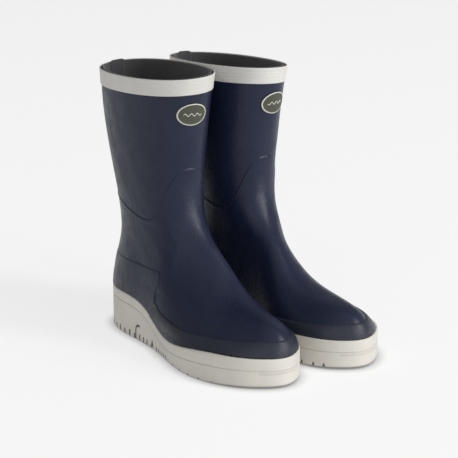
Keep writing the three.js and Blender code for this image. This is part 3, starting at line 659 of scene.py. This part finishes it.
def make_vamp(side):
    """The foot's rubber, its seam edge rolled in over the leg with a faint bead below."""
    t = RING
    low = meet(t, lambda f, s: above_sole(f))
    high = meet(t, lambda f, s: seam_height(f))
    z, _, top = levels_between(t, low, high, 170, SEAM_ROWS)
    col = t[:, None]
    bead = 0.22 * np.exp(-(((top - 3.2) / 1.8) ** 2))
    roll = 0.55 * (1 - ease(top / 2.4))
    outer = vamp_face(col, z) + ripple(col, z) * ease(top / 10) + (bead - roll)
    inner = vamp_face(col, z) - VAMP_WALL
    obj = shell(f"{side}_vamp_skin", side, skin(col, z, outer), skin(col, z, inner), True, [NAVY])
    return keep(obj, side, "vamp")


def make_leg(side):
    """The leg's rubber, tucked in behind the vamp's seam edge and the rim band."""
    t = RING
    low = meet(t, lambda f, s: seam_height(f) - 2)
    high = meet(t, lambda f, s: rim_height(f, s) - 0.9)
    z, bottom, _ = levels_between(t, low, high, 110)
    col = t[:, None]
    outer = LEG_FACE + ripple(col, z) * ease((bottom - 2) / 10)
    inner = np.full_like(z, -VAMP_WALL)
    obj = shell(f"{side}_leg_skin", side, skin(col, z, outer), skin(col, z, inner), True, [NAVY])
    return keep(obj, side, "leg_panel")


def share_at(f_wanted, z, way):
    """Turn at which the level section passes f, on the outside (+1) or inside (-1)."""
    turns = np.linspace(0.02, 0.48, 240) if way > 0 else np.linspace(0.98, 0.52, 240)
    f_wanted, z = np.broadcast_arrays(np.asarray(f_wanted, float), np.asarray(z, float))
    flat = np.empty(z.size)
    for i, (f, level) in enumerate(zip(f_wanted.ravel(), z.ravel())):
        flat[i] = np.interp(f, forward(turns, level), turns)
    return flat.reshape(z.shape)


def patch(side, name, centre, end, low, high, columns, rows, raised, under, radius, material, soft_ends):
    """A raised overlay on the skin, round the heel (centre 0) or round the toe (centre 0.5).

    `end(z)` is the f at which it stops on both sides; `low` and `high` are its lower and upper curves. It
    rises from `under` to `raised(z)` over `radius`: at its top, and by the share `soft_ends(z)` at its
    ends."""
    levels = np.linspace(8, 100, 93)
    outside, inside = (share_at(end(levels), levels, way) for way in (1, -1))
    share = np.arange(columns) / (columns - 1)
    u = mix(share, (1 - np.cos(np.pi * share)) / 2, 0.35)
    if centre == 0:
        middle = 60.0
        begin, finish = lambda z: np.interp(z, levels, inside) - 1, lambda z: np.interp(z, levels, outside)
    else:
        middle = 40.0
        begin, finish = lambda z: np.interp(z, levels, outside), lambda z: np.interp(z, levels, inside)
    guess = mix(begin(middle), finish(middle), u)
    z_low, z_high = meet(guess, low), meet(guess, high)
    for _ in range(3):
        # columns lean with the ends, so each edge is met again on its own turn
        t_low = mix(begin(z_low), finish(z_low), u)
        t_high = mix(begin(z_high), finish(z_high), u)
        z_low, z_high = meet(t_low, low), meet(t_high, high)
    z, _, top = levels_between(guess, z_low, np.maximum(z_high, z_low + 9), rows, PATCH_ROWS)
    t = mix(begin(z), finish(z), u[:, None])
    steps = np.linalg.norm(np.diff(skin(t, z), axis=0), axis=-1)
    run = np.concatenate([np.zeros((1, z.shape[1])), np.cumsum(steps, 0)])
    side_edge = np.minimum(run, run[-1] - run)
    edge = ease(top / radius) * mix(1, ease(side_edge / radius), soft_ends(z))
    outer = skin(t, z, under + (raised(z) - under) * edge)
    inner = skin(t, z, under - 0.4)
    return shell(name, side, outer, inner, False, [material])


def counter_end(z):
    """The counter's front edge: round at its top corner, then sloping back to the strip."""
    corner = 9.0
    lean = linear([(8, 123), (52, 123), (58, 124.2), (66, 127.2), (73, 128.6), (120, 128.6)])(z)
    return lean - corner * (1 - np.sqrt(1 - np.clip((z - (COUNTER_TOP - corner)) / corner, 0, 0.995) ** 2))


def counter_face(z):
    """The counter thins out towards its top."""
    return mix(OVERLAY - 0.15, 0.42, ease((z - 52) / 12))


def wrap_face(z):
    return OVERLAY - 0.17 + WRAP_SWELL * np.sin(np.pi * np.clip((z - 28) / 17, 0, 1))


def above_strip(f, s):
    return strip_top(f) + 0.5


def make_counter(side):
    """The counter's ends fade out above the toe wrap only."""
    obj = patch(
        side, f"{side}_heel_counter_skin", centre=0, end=counter_end,
        low=above_strip, high=lambda f, s: COUNTER_TOP + 0 * f, columns=300, rows=46,
        raised=counter_face, under=-0.3, radius=3.4, material=NAVY, soft_ends=lambda z: ease((z - 52) / 6),
    )
    return keep(obj, side, "heel_counter")


def make_wrap(side):
    """The toe wrap runs back under the counter, where its ends stay full."""
    obj = patch(
        side, f"{side}_toe_wrap_skin", centre=0.5, end=lambda z: np.full_like(z, WRAP_END),
        low=above_strip, high=lambda f, s: wrap_top(f), columns=420, rows=26,
        raised=wrap_face, under=-0.4, radius=2.4, material=FOXING_PAINTED_REFLECTION, soft_ends=lambda z: 0 * z,
    )
    return keep(obj, side, "toe_wrap")


def sole_ring(t):
    """The sole's edge in plan and its sideways normal."""
    plan = sample(SHAPE, t, SOLE_EDGE)
    normal = sample(NORMALS, t, SOLE_EDGE)[..., :2]
    return plan, unit(normal)


def upright(t, z, d):
    """Points straight above and below the sole's edge, moved sideways by d."""
    plan, normal = sole_ring(t)
    plan = np.broadcast_to(plan[:, None], (*z.shape, 2))
    normal = np.broadcast_to(normal[:, None], (*z.shape, 2))
    return np.concatenate([plan + normal * d[..., None], z[..., None]], -1)


def make_strip(side):
    """The pale strip: upright, slightly crowned, rounded at both edges."""
    t = SOLE_RING
    plan, _ = sole_ring(t)
    low = sole_top(plan[:, 0]) + GROOVE / 2 + 0.02
    high = strip_top(plan[:, 0])
    v = np.r_[0, 0.01, 0.025, 0.045, 0.07, 0.1, np.linspace(0.2, 0.8, 7), 0.87, 0.92, 0.96, 0.985, 1]
    z = mix(low[:, None], high[:, None], v)
    bulge = 0.25 * np.sin(np.pi * v)
    top_round = 1.1 * (1 - quarter(high[:, None] - z, 1.3))
    low_round = 0.7 * (1 - quarter(z - low[:, None], 0.6))
    outer = upright(t, z, np.broadcast_to(bulge, z.shape) - top_round - low_round)
    inner = skin(t[:, None], z, vamp_face(t[:, None], z) + 0.25)
    obj = shell(f"{side}_sole_strip_skin", side, outer, inner, True, [WHITE])
    return keep(obj, side, "sole_strip")


HEEL_SIPES = [0.07 + (0.32 - 0.07) * i / 7 for i in range(8)]  # shares of the sole's length
FORE_SIPES = [0.5 + (0.94 - 0.5) * i / 8 for i in range(9)]
WAIST = (103, 129)
WAIST_CUTS = (101, 109)
WAIST_NOTCH = 121
FORE_CUTS = (132, 138.5, 145, 151.5, 158)
TOE_NOTCHES = (243, 256, 266)  # on the inner side only
HALF_SOLE = 80  # more than half the sole's width
BELOW = -9  # cutters start this far under the floor


def box_points(low, high):
    x, y, z = zip(low, high)
    points = np.array([(a, b, c) for a in x for b in y for c in z], float)
    quads = np.array([(0, 1, 3, 2), (4, 6, 7, 5), (0, 4, 5, 1), (2, 3, 7, 6), (0, 2, 6, 4), (1, 5, 7, 3)])
    return points, quads


def cross_cut(f, half, height):
    """A block right across the sole."""
    return box_points((f - half, -HALF_SOLE, BELOW), (f + half, HALF_SOLE, height))


def side_cut(f, width, height, depth, sign):
    """A block into one side of the sole, as deep as `depth` at f."""
    edge = float(SOLE_OUTER(f)) if sign > 0 else float(SOLE_INNER(f))
    inner, outer = edge - sign * depth, edge + sign * 8
    return box_points((f - width / 2, min(inner, outer), BELOW), (f + width / 2, max(inner, outer), height))


def notch(f, width, height, depth, sign):
    """A cut that narrows upwards almost to a point."""
    points, quads = side_cut(f, width, height, depth, sign)
    points[:, 0] = np.where(points[:, 2] > 0, f + (points[:, 0] - f) * 0.08, points[:, 0])
    points[:, 2] = np.where(points[:, 2] > 0, points[:, 2], -1.0)
    return points, quads


def joined(parts):
    """Points and faces of several blocks as one."""
    points, faces, count = [], [], 0
    for p, q in parts:
        points.append(p)
        faces.append(q + count)
        count += len(p)
    return np.concatenate(points), np.concatenate(faces)


def tread_cutters(side):
    """Cross cuts, the relief under the waist and the small cuts that show along the sides, as one cutter."""
    blocks = [cross_cut(share * SOLE_LENGTH, 0.6, TREAD_DEPTH + 1.4) for share in HEEL_SIPES]
    blocks += [cross_cut(share * SOLE_LENGTH, 0.95, TREAD_DEPTH * 0.55) for share in FORE_SIPES]
    blocks.append(box_points((WAIST[0], -HALF_SOLE, BELOW), (WAIST[1], HALF_SOLE, ARCH_RELIEF)))
    for sign in (1, -1):
        for i, share in enumerate(HEEL_SIPES):
            blocks.append(side_cut(share * SOLE_LENGTH, 2.3, 6.2 + 1.2 * (i % 2), 9, sign))
        blocks += [side_cut(f, 2.2, 6.8, 8, sign) for f in WAIST_CUTS]
        blocks.append(notch(WAIST_NOTCH, 10, 9.5, 10, sign))
        blocks += [side_cut(f, 1.6, 5.4, 8, sign) for f in FORE_CUTS]
    blocks += [notch(f, 5.5, 6.5, 9, -1) for f in TOE_NOTCHES]
    points, faces = joined(blocks)
    return finish_mesh(f"{side}_tread_cutter", side, points, [faces], [WHITE, TREAD_DARK],
                       np.ones(len(faces)), smooth=False)


def hook_cutter(side):
    """The hooked groove that rises beside the heel's last cut: straight up, then over forwards."""
    middle, reach, top, bend = 91, 6.0, 11, 0.45
    turn = np.linspace(0, 1, 30)
    angle = np.pi * (1 - 0.62 * ease((turn - bend) / (1 - bend)))
    f = middle + reach * np.cos(angle)
    z = np.where(turn < bend, -1.5 + 12.5 * turn / bend, top + 5.0 * np.sin(angle))
    points, faces, count = [], [], 0
    for way in (1, -1):
        plan, normal = sole_ring(share_at(f, np.full_like(f, SOLE_EDGE), way))
        rod, quads, caps = tube(np.c_[plan - 0.1 * normal, z], 1.15, 8)
        points.append(rod)
        faces += [part + count for part in (quads, *caps)]
        count += len(rod)
    return finish_mesh(f"{side}_hook_cutter", side, np.concatenate(points), faces, [WHITE, TREAD_DARK],
                       np.ones(sum(len(part) for part in faces)), smooth=False)


def tube(path, radius, sides=10):
    """A closed round rod along local points."""
    path = np.array(path, float)
    along = unit(np.gradient(path, axis=0))
    steep = abs(along[0, 2]) >= 0.9 or abs(along[-1, 2]) >= 0.9
    level = unit(np.cross(along, (0.31, 0.95, 0.0) if steep else (0, 0, 1.0)), 1e-6)
    rise = np.cross(level, along)
    turn = 2 * np.pi * np.arange(sides) / sides
    spokes = np.cos(turn)[:, None] * level[:, None] + np.sin(turn)[:, None] * rise[:, None]
    loops = path[:, None] + radius * spokes
    first = np.arange(sides)[::-1].reshape(1, -1)
    last = ((len(path) - 1) * sides + np.arange(sides)).reshape(1, -1)
    return loops.reshape(-1, 3), grid_faces(len(path), sides, False, True), (first, last)


def carve(obj, cutter):
    """Takes the cutter out of the object's mesh."""
    cut = obj.modifiers.new("cut", "BOOLEAN")
    cut.operation = "DIFFERENCE"
    cut.solver = "EXACT"
    cut.object = cutter
    cut.use_self = True
    graph = bpy.context.evaluated_depsgraph_get()
    made = bpy.data.meshes.new_from_object(obj.evaluated_get(graph))
    obj.modifiers.clear()
    obj.data = made
    bpy.data.objects.remove(cutter)


def flat_cap(columns, rows, row, flip):
    """Closes a ring of columns at one row, with strips from the outer to the inner side."""
    j = np.arange(columns // 2)
    a, b = j * rows + row, (j + 1) * rows + row
    c, d = ((columns - j) % columns) * rows + row, (columns - j - 1) * rows + row
    quads = np.stack([a, b, d, c], -1)
    parts = (quads[1:-1], quads[:1, :3], quads[-1:, [0, 1, 3]])
    return [part[:, ::-1] if flip else part for part in parts]


def make_outsole(side):
    """The sole block, rounded at the floor and at the groove, with its tread cut in."""
    t = SOLE_RING
    plan, _ = sole_ring(t)
    high = sole_top(plan[:, 0]) + GROOVE / 2
    floor = TOE_SPRING * ease((plan[:, :1] - 205) / 75)
    foot = floor + np.array([0, 0.1, 0.35, 0.8, 1.4, 2.2, 3.2, 4.4, 5.8])
    v = np.linspace(0, 1, 16)[1:]
    rest = foot[:, -1:] + (high[:, None] - foot[:, -1:] - 1.0) * v
    lip = high[:, None] - np.array([0.6, 0.4, 0.25, 0.12, 0.04, 0])
    z = np.concatenate([foot, rest, lip], 1)
    floor_round = -1.8 * (1 - quarter(z - floor, 2.2))
    groove_round = 0.85 * (1 - quarter(high[:, None] - z, 0.6))
    wall = upright(t, z, floor_round - groove_round + 0.15)
    columns, rows = wall.shape[:2]
    faces = [grid_faces(columns, rows, True, False)]
    faces += flat_cap(columns, rows, 0, False) + flat_cap(columns, rows, rows - 1, True)
    obj = finish_mesh(f"{side}_outsole_block", side, wall.reshape(-1, 3), faces, [WHITE, TREAD_DARK])
    carve(obj, tread_cutters(side))
    carve(obj, hook_cutter(side))
    obj.data.shade_smooth()
    return keep(obj, side, "outsole")


KNURL_SPAN = (0.462, 0.538)  # turns, round the toe
KNURL_RIBS = 45


def make_knurl(side):
    """Fine upright ribs just under the groove, round the toe."""
    rods, faces, count = [], [], 0
    for t in np.linspace(*KNURL_SPAN, KNURL_RIBS):
        plan, normal = sole_ring(np.array([t]))
        top = float(sole_top(plan[0, 0])) - 0.2
        base = plan[0] + 0.02 * normal[0]
        points, quads, caps = tube([(*base, top + drop) for drop in (-2.6, -1.3, 0)], 0.34, 6)
        rods.append(points)
        faces += [part + count for part in (quads, *caps)]
        count += len(points)
    obj = finish_mesh(f"{side}_toe_knurl", side, np.concatenate(rods), faces, [WHITE])
    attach(obj, f"{side}_boot")


BAND_LINES = (4.2, 7.6, 11.0)  # shallow lines round the band, down from the rim


def make_band(side):
    t = RING
    low = meet(t, lambda f, s: rim_height(f, s) - TOP_BAND_HEIGHT)
    high = meet(t, rim_height)
    z, bottom, top = levels_between(t, low, high, 64)
    col = t[:, None]
    lines = sum(np.exp(-(((top - at) / 0.45) ** 2)) for at in BAND_LINES)
    face = TOP_BAND_FACE - 0.14 * lines
    outer = -0.35 + (face + 0.35) * quarter(top, 0.9) * quarter(bottom, 0.6)
    inner = np.full_like(z, -0.4)
    obj = shell(f"{side}_top_band_skin", side, skin(col, z, outer), skin(col, z, inner), True, [BAND])
    return keep(obj, side, "top_band")


def make_lining(side):
    """The textile sleeve; it stands further in where the toe and heel stiffeners lie behind it."""
    t = RING
    low = meet(t, lambda f, s: above_sole(f) + 10)
    high = meet(t, lambda f, s: rim_height(f, s) - 0.35)
    z, _, top = levels_between(t, low, high, 150)
    col = t[:, None]
    toe = ease((forward(col, z) / SOLE_LENGTH - 0.7) / 0.06)
    heel = ease((0.32 - forward(col, z) / SOLE_LENGTH) / 0.06) * ease((108 - z) / 12)
    face = vamp_face(col, z) - LINING_DEPTH - STIFFENER_ROOM * np.maximum(toe, heel)
    inner = face - LINING + LINING * 0.5 * (1 - quarter(top, 1.0))
    obj = shell(f"{side}_lining_sleeve", side, skin(col, z, face), skin(col, z, inner), True, [LINING_CLOTH])
    return keep(obj, side, "lining")


def make_back_strip(side):
    """Ribbed webbing on the lining's inner face, with rounded corners above the rim."""
    half = STRIP_WIDTH / 2 / girth(BOOT_HEIGHT - 1)
    columns = np.arange(41)
    t = np.linspace(-half, half, len(columns))
    low = meet(t, lambda f, s: rim_height(f, s) - STRIP_DROP)
    in_from_edge = np.minimum(columns, columns[::-1]) * STRIP_WIDTH / columns[-1]
    tuck = 0.4
    high = meet(t, rim_height) - tuck + (STRIP_RISE + tuck) * quarter(in_from_edge, 5.0)
    z, _, top = levels_between(t, low, high, 60)
    col = t[:, None]
    ribs = 0.05 * np.cos(2 * np.pi * columns / 5)[:, None]
    edge = ease(in_from_edge / 1.5)[:, None]
    depth = -LINING_DEPTH - LINING + 0.1
    inner = depth - 0.05 - (0.6 + ribs) * edge * quarter(top, 0.8)
    outer = depth + 0 * z
    obj = shell(f"{side}_back_webbing", side, skin(col, z, outer), skin(col, z, inner), False, [WEBBING])
    return keep(obj, side, "back_strip")


# rings of the badge from its back edge inwards: share of its size, and how far each stands out
BADGE_RINGS = [
    (1.0, -0.6), (1.0, 0.45), (0.985, 0.62), (0.965, 0.7), (0.945, 0.78), (0.93, 0.9), (0.88, 0.9),
    (0.865, 0.78), (0.85, 0.7), (0.7, 0.74), (0.5, 0.78), (0.3, 0.8), (0.12, 0.8),
]
PALE_RINGS = (3, 5)


def make_badge(side):
    """A plain oval badge with a raised pale line round it and a plain wave across."""
    middle = BOOT_HEIGHT + RIM_RAKE - BADGE_DROP
    round_boot = girth(middle)
    spokes = 96
    turn = 2 * np.pi * np.arange(spokes) / spokes

    def at(x, y, d):
        return skin(0.5 - (BADGE_SIDE + x) / round_boot, middle + y, d)

    wide, tall = BADGE_WIDTH / 2 * np.cos(turn), BADGE_HEIGHT / 2 * np.sin(turn)
    loops = np.stack([at(wide * reach, tall * reach, raised) for reach, raised in BADGE_RINGS], 1)
    rows = len(BADGE_RINGS)
    points = loops.reshape(-1, 3)
    faces = grid_faces(spokes, rows, True, False)
    row = np.tile(np.arange(rows - 1), spokes)
    pale = (row >= PALE_RINGS[0]) & (row <= PALE_RINGS[1])
    front = (np.arange(spokes) * rows + rows - 1).reshape(1, -1)
    back = (np.arange(spokes) * rows).reshape(1, -1)[:, ::-1]
    indices = np.r_[pale.astype(int), 0, 0]
    obj = finish_mesh(f"{side}_oval_badge", side, points, [faces, front, back], [OLIVE, PALE], indices)
    keep(obj, side, "badge")
    x = np.linspace(-9.5, 9.5, 60)
    path = at(x, 1.3 * np.sin(2 * np.pi * x / 6.3), 0.85)
    points, quads, caps = tube(path, 0.42)
    wave = finish_mesh(f"{side}_badge_wave", side, points, [quads, *caps], [PALE])
    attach(wave, f"{side}_boot")


CARRIED = {
    "midsole": SPONGE, "insole_board": BOARD, "insole": FOOTBED, "heel_stiffener": SHEET, "toe_puff": SHEET,
}


def dress_carried(side):
    """Gives the frame's own hidden pieces their materials."""
    for node, material in CARRIED.items():
        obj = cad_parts[f"{side}_{node}"]
        obj.data.materials.clear()
        obj.data.materials.append(material)


for side in ("right", "left"):
    make_vamp(side)
    make_leg(side)
    make_counter(side)
    make_wrap(side)
    make_strip(side)
    make_outsole(side)
    make_knurl(side)
    make_band(side)
    make_lining(side)
    make_back_strip(side)
    make_badge(side)
for side in ("right", "left"):
    dress_carried(side)


# ---- stage, light and camera ---------------------------------------------------------------------
def towards(azimuth, elevation):
    """The direction from the boots; azimuth 0 is in front of the toes, positive towards +X."""
    a, e = math.radians(azimuth), math.radians(elevation)
    return Vector((math.sin(a) * math.cos(e), -math.cos(a) * math.cos(e), math.sin(e)))


FLOOR_REACH = 9.0
FLOOR_GREY = 0.25
CONTACT_REACH = 0.013  # metres from the soles within which the floor darkens


def make_floor():
    """Pale paper that stays bright all over by its own glow, and darkens only close to the soles, a painted
    contact shadow.
    """
    r = FLOOR_REACH
    mesh = bpy.data.meshes.new("floor")
    mesh.from_pydata([(-r, -r, 0), (r, -r, 0), (r, r, 0), (-r, r, 0)], [], [(0, 1, 2, 3)])
    material, tree, shader, place = new_material("floor_paper")
    shader.inputs["Base Color"].default_value = (FLOOR_GREY, FLOOR_GREY, FLOOR_GREY, 1)
    shader.inputs["Roughness"].default_value = 1.0
    shader.inputs["Specular IOR Level"].default_value = 0.0
    shader.inputs["Emission Color"].default_value = (1, 1, 1, 1)
    # the glow is dimmed close to the soles: a painted contact shadow
    shade = tree.nodes.new("ShaderNodeAmbientOcclusion")
    shade.inputs["Distance"].default_value = CONTACT_REACH
    shade.samples = 8
    glow = ramp(tree, shade.outputs["AO"], 0.15, 0.72, 0.15, 0.95)
    tree.links.new(glow, shader.inputs["Emission Strength"])
    mesh.materials.append(material)
    floor = bpy.data.objects.new("floor", mesh)
    bpy.context.scene.collection.objects.link(floor)


WORLD_STRENGTH = 0.30
LIGHT_DISTANCE = 6.5
MIDDLE_HEIGHT = 0.13
# name, azimuth, elevation, size, power
LIGHTS = [
    ("window_right", 36, 27, (1.6, 6.0), 290),
    ("sky_left", -52, 27, (7.0, 5.0), 80),
    ("front_fill", 0, 30, (4.0, 5.0), 35),
    ("toe_glint", 12, 12, (1.2, 2.0), 95),
    ("overhead", -20, 80, (5.0, 5.0), 40),
]


def area_light(name, azimuth, elevation, size, power):
    """A soft panel aimed at the middle of the boots."""
    back = towards(azimuth, elevation)
    data = bpy.data.lights.new(name, "AREA")
    data.shape = "RECTANGLE"
    data.size, data.size_y = size
    data.energy = power
    light = bpy.data.objects.new(name, data)
    light.location = Vector((0, 0, MIDDLE_HEIGHT)) + back * LIGHT_DISTANCE
    light.rotation_euler = back.to_track_quat("Z", "Y").to_euler()
    bpy.context.scene.collection.objects.link(light)


def make_light():
    world = bpy.data.worlds.new("studio")
    bpy.context.scene.world = world
    world.use_nodes = True
    background = world.node_tree.nodes["Background"]
    background.inputs["Color"].default_value = (1.0, 1.0, 1.0, 1)
    background.inputs["Strength"].default_value = WORLD_STRENGTH
    for light in LIGHTS:
        area_light(*light)


VIEW_AZIMUTH = -34.541
VIEW_ELEVATION = 14.852
VIEW_DISTANCE = 2.02666
VIEW_TARGET = Vector((-0.00814, -0.00585, 0.130))
VIEW_LENS = 159.17
VIEW_SHIFT = (-0.0061, -0.0244)


def make_camera():
    back = towards(VIEW_AZIMUTH, VIEW_ELEVATION)
    right = Vector((math.cos(math.radians(VIEW_AZIMUTH)), math.sin(math.radians(VIEW_AZIMUTH)), 0))
    up = back.cross(right)
    data = bpy.data.cameras.new("camera")
    data.sensor_width = 36.0
    data.lens = VIEW_LENS
    data.shift_x, data.shift_y = VIEW_SHIFT
    data.clip_end = 100
    camera = bpy.data.objects.new("camera", data)
    camera.matrix_world = Matrix.Translation(VIEW_TARGET + back * VIEW_DISTANCE) @ Matrix(
        (right, up, back)).transposed().to_4x4()
    bpy.context.scene.collection.objects.link(camera)
    bpy.context.scene.camera = camera


make_floor()
make_light()
make_camera()
bpy.context.scene.view_settings.view_transform = "Standard"
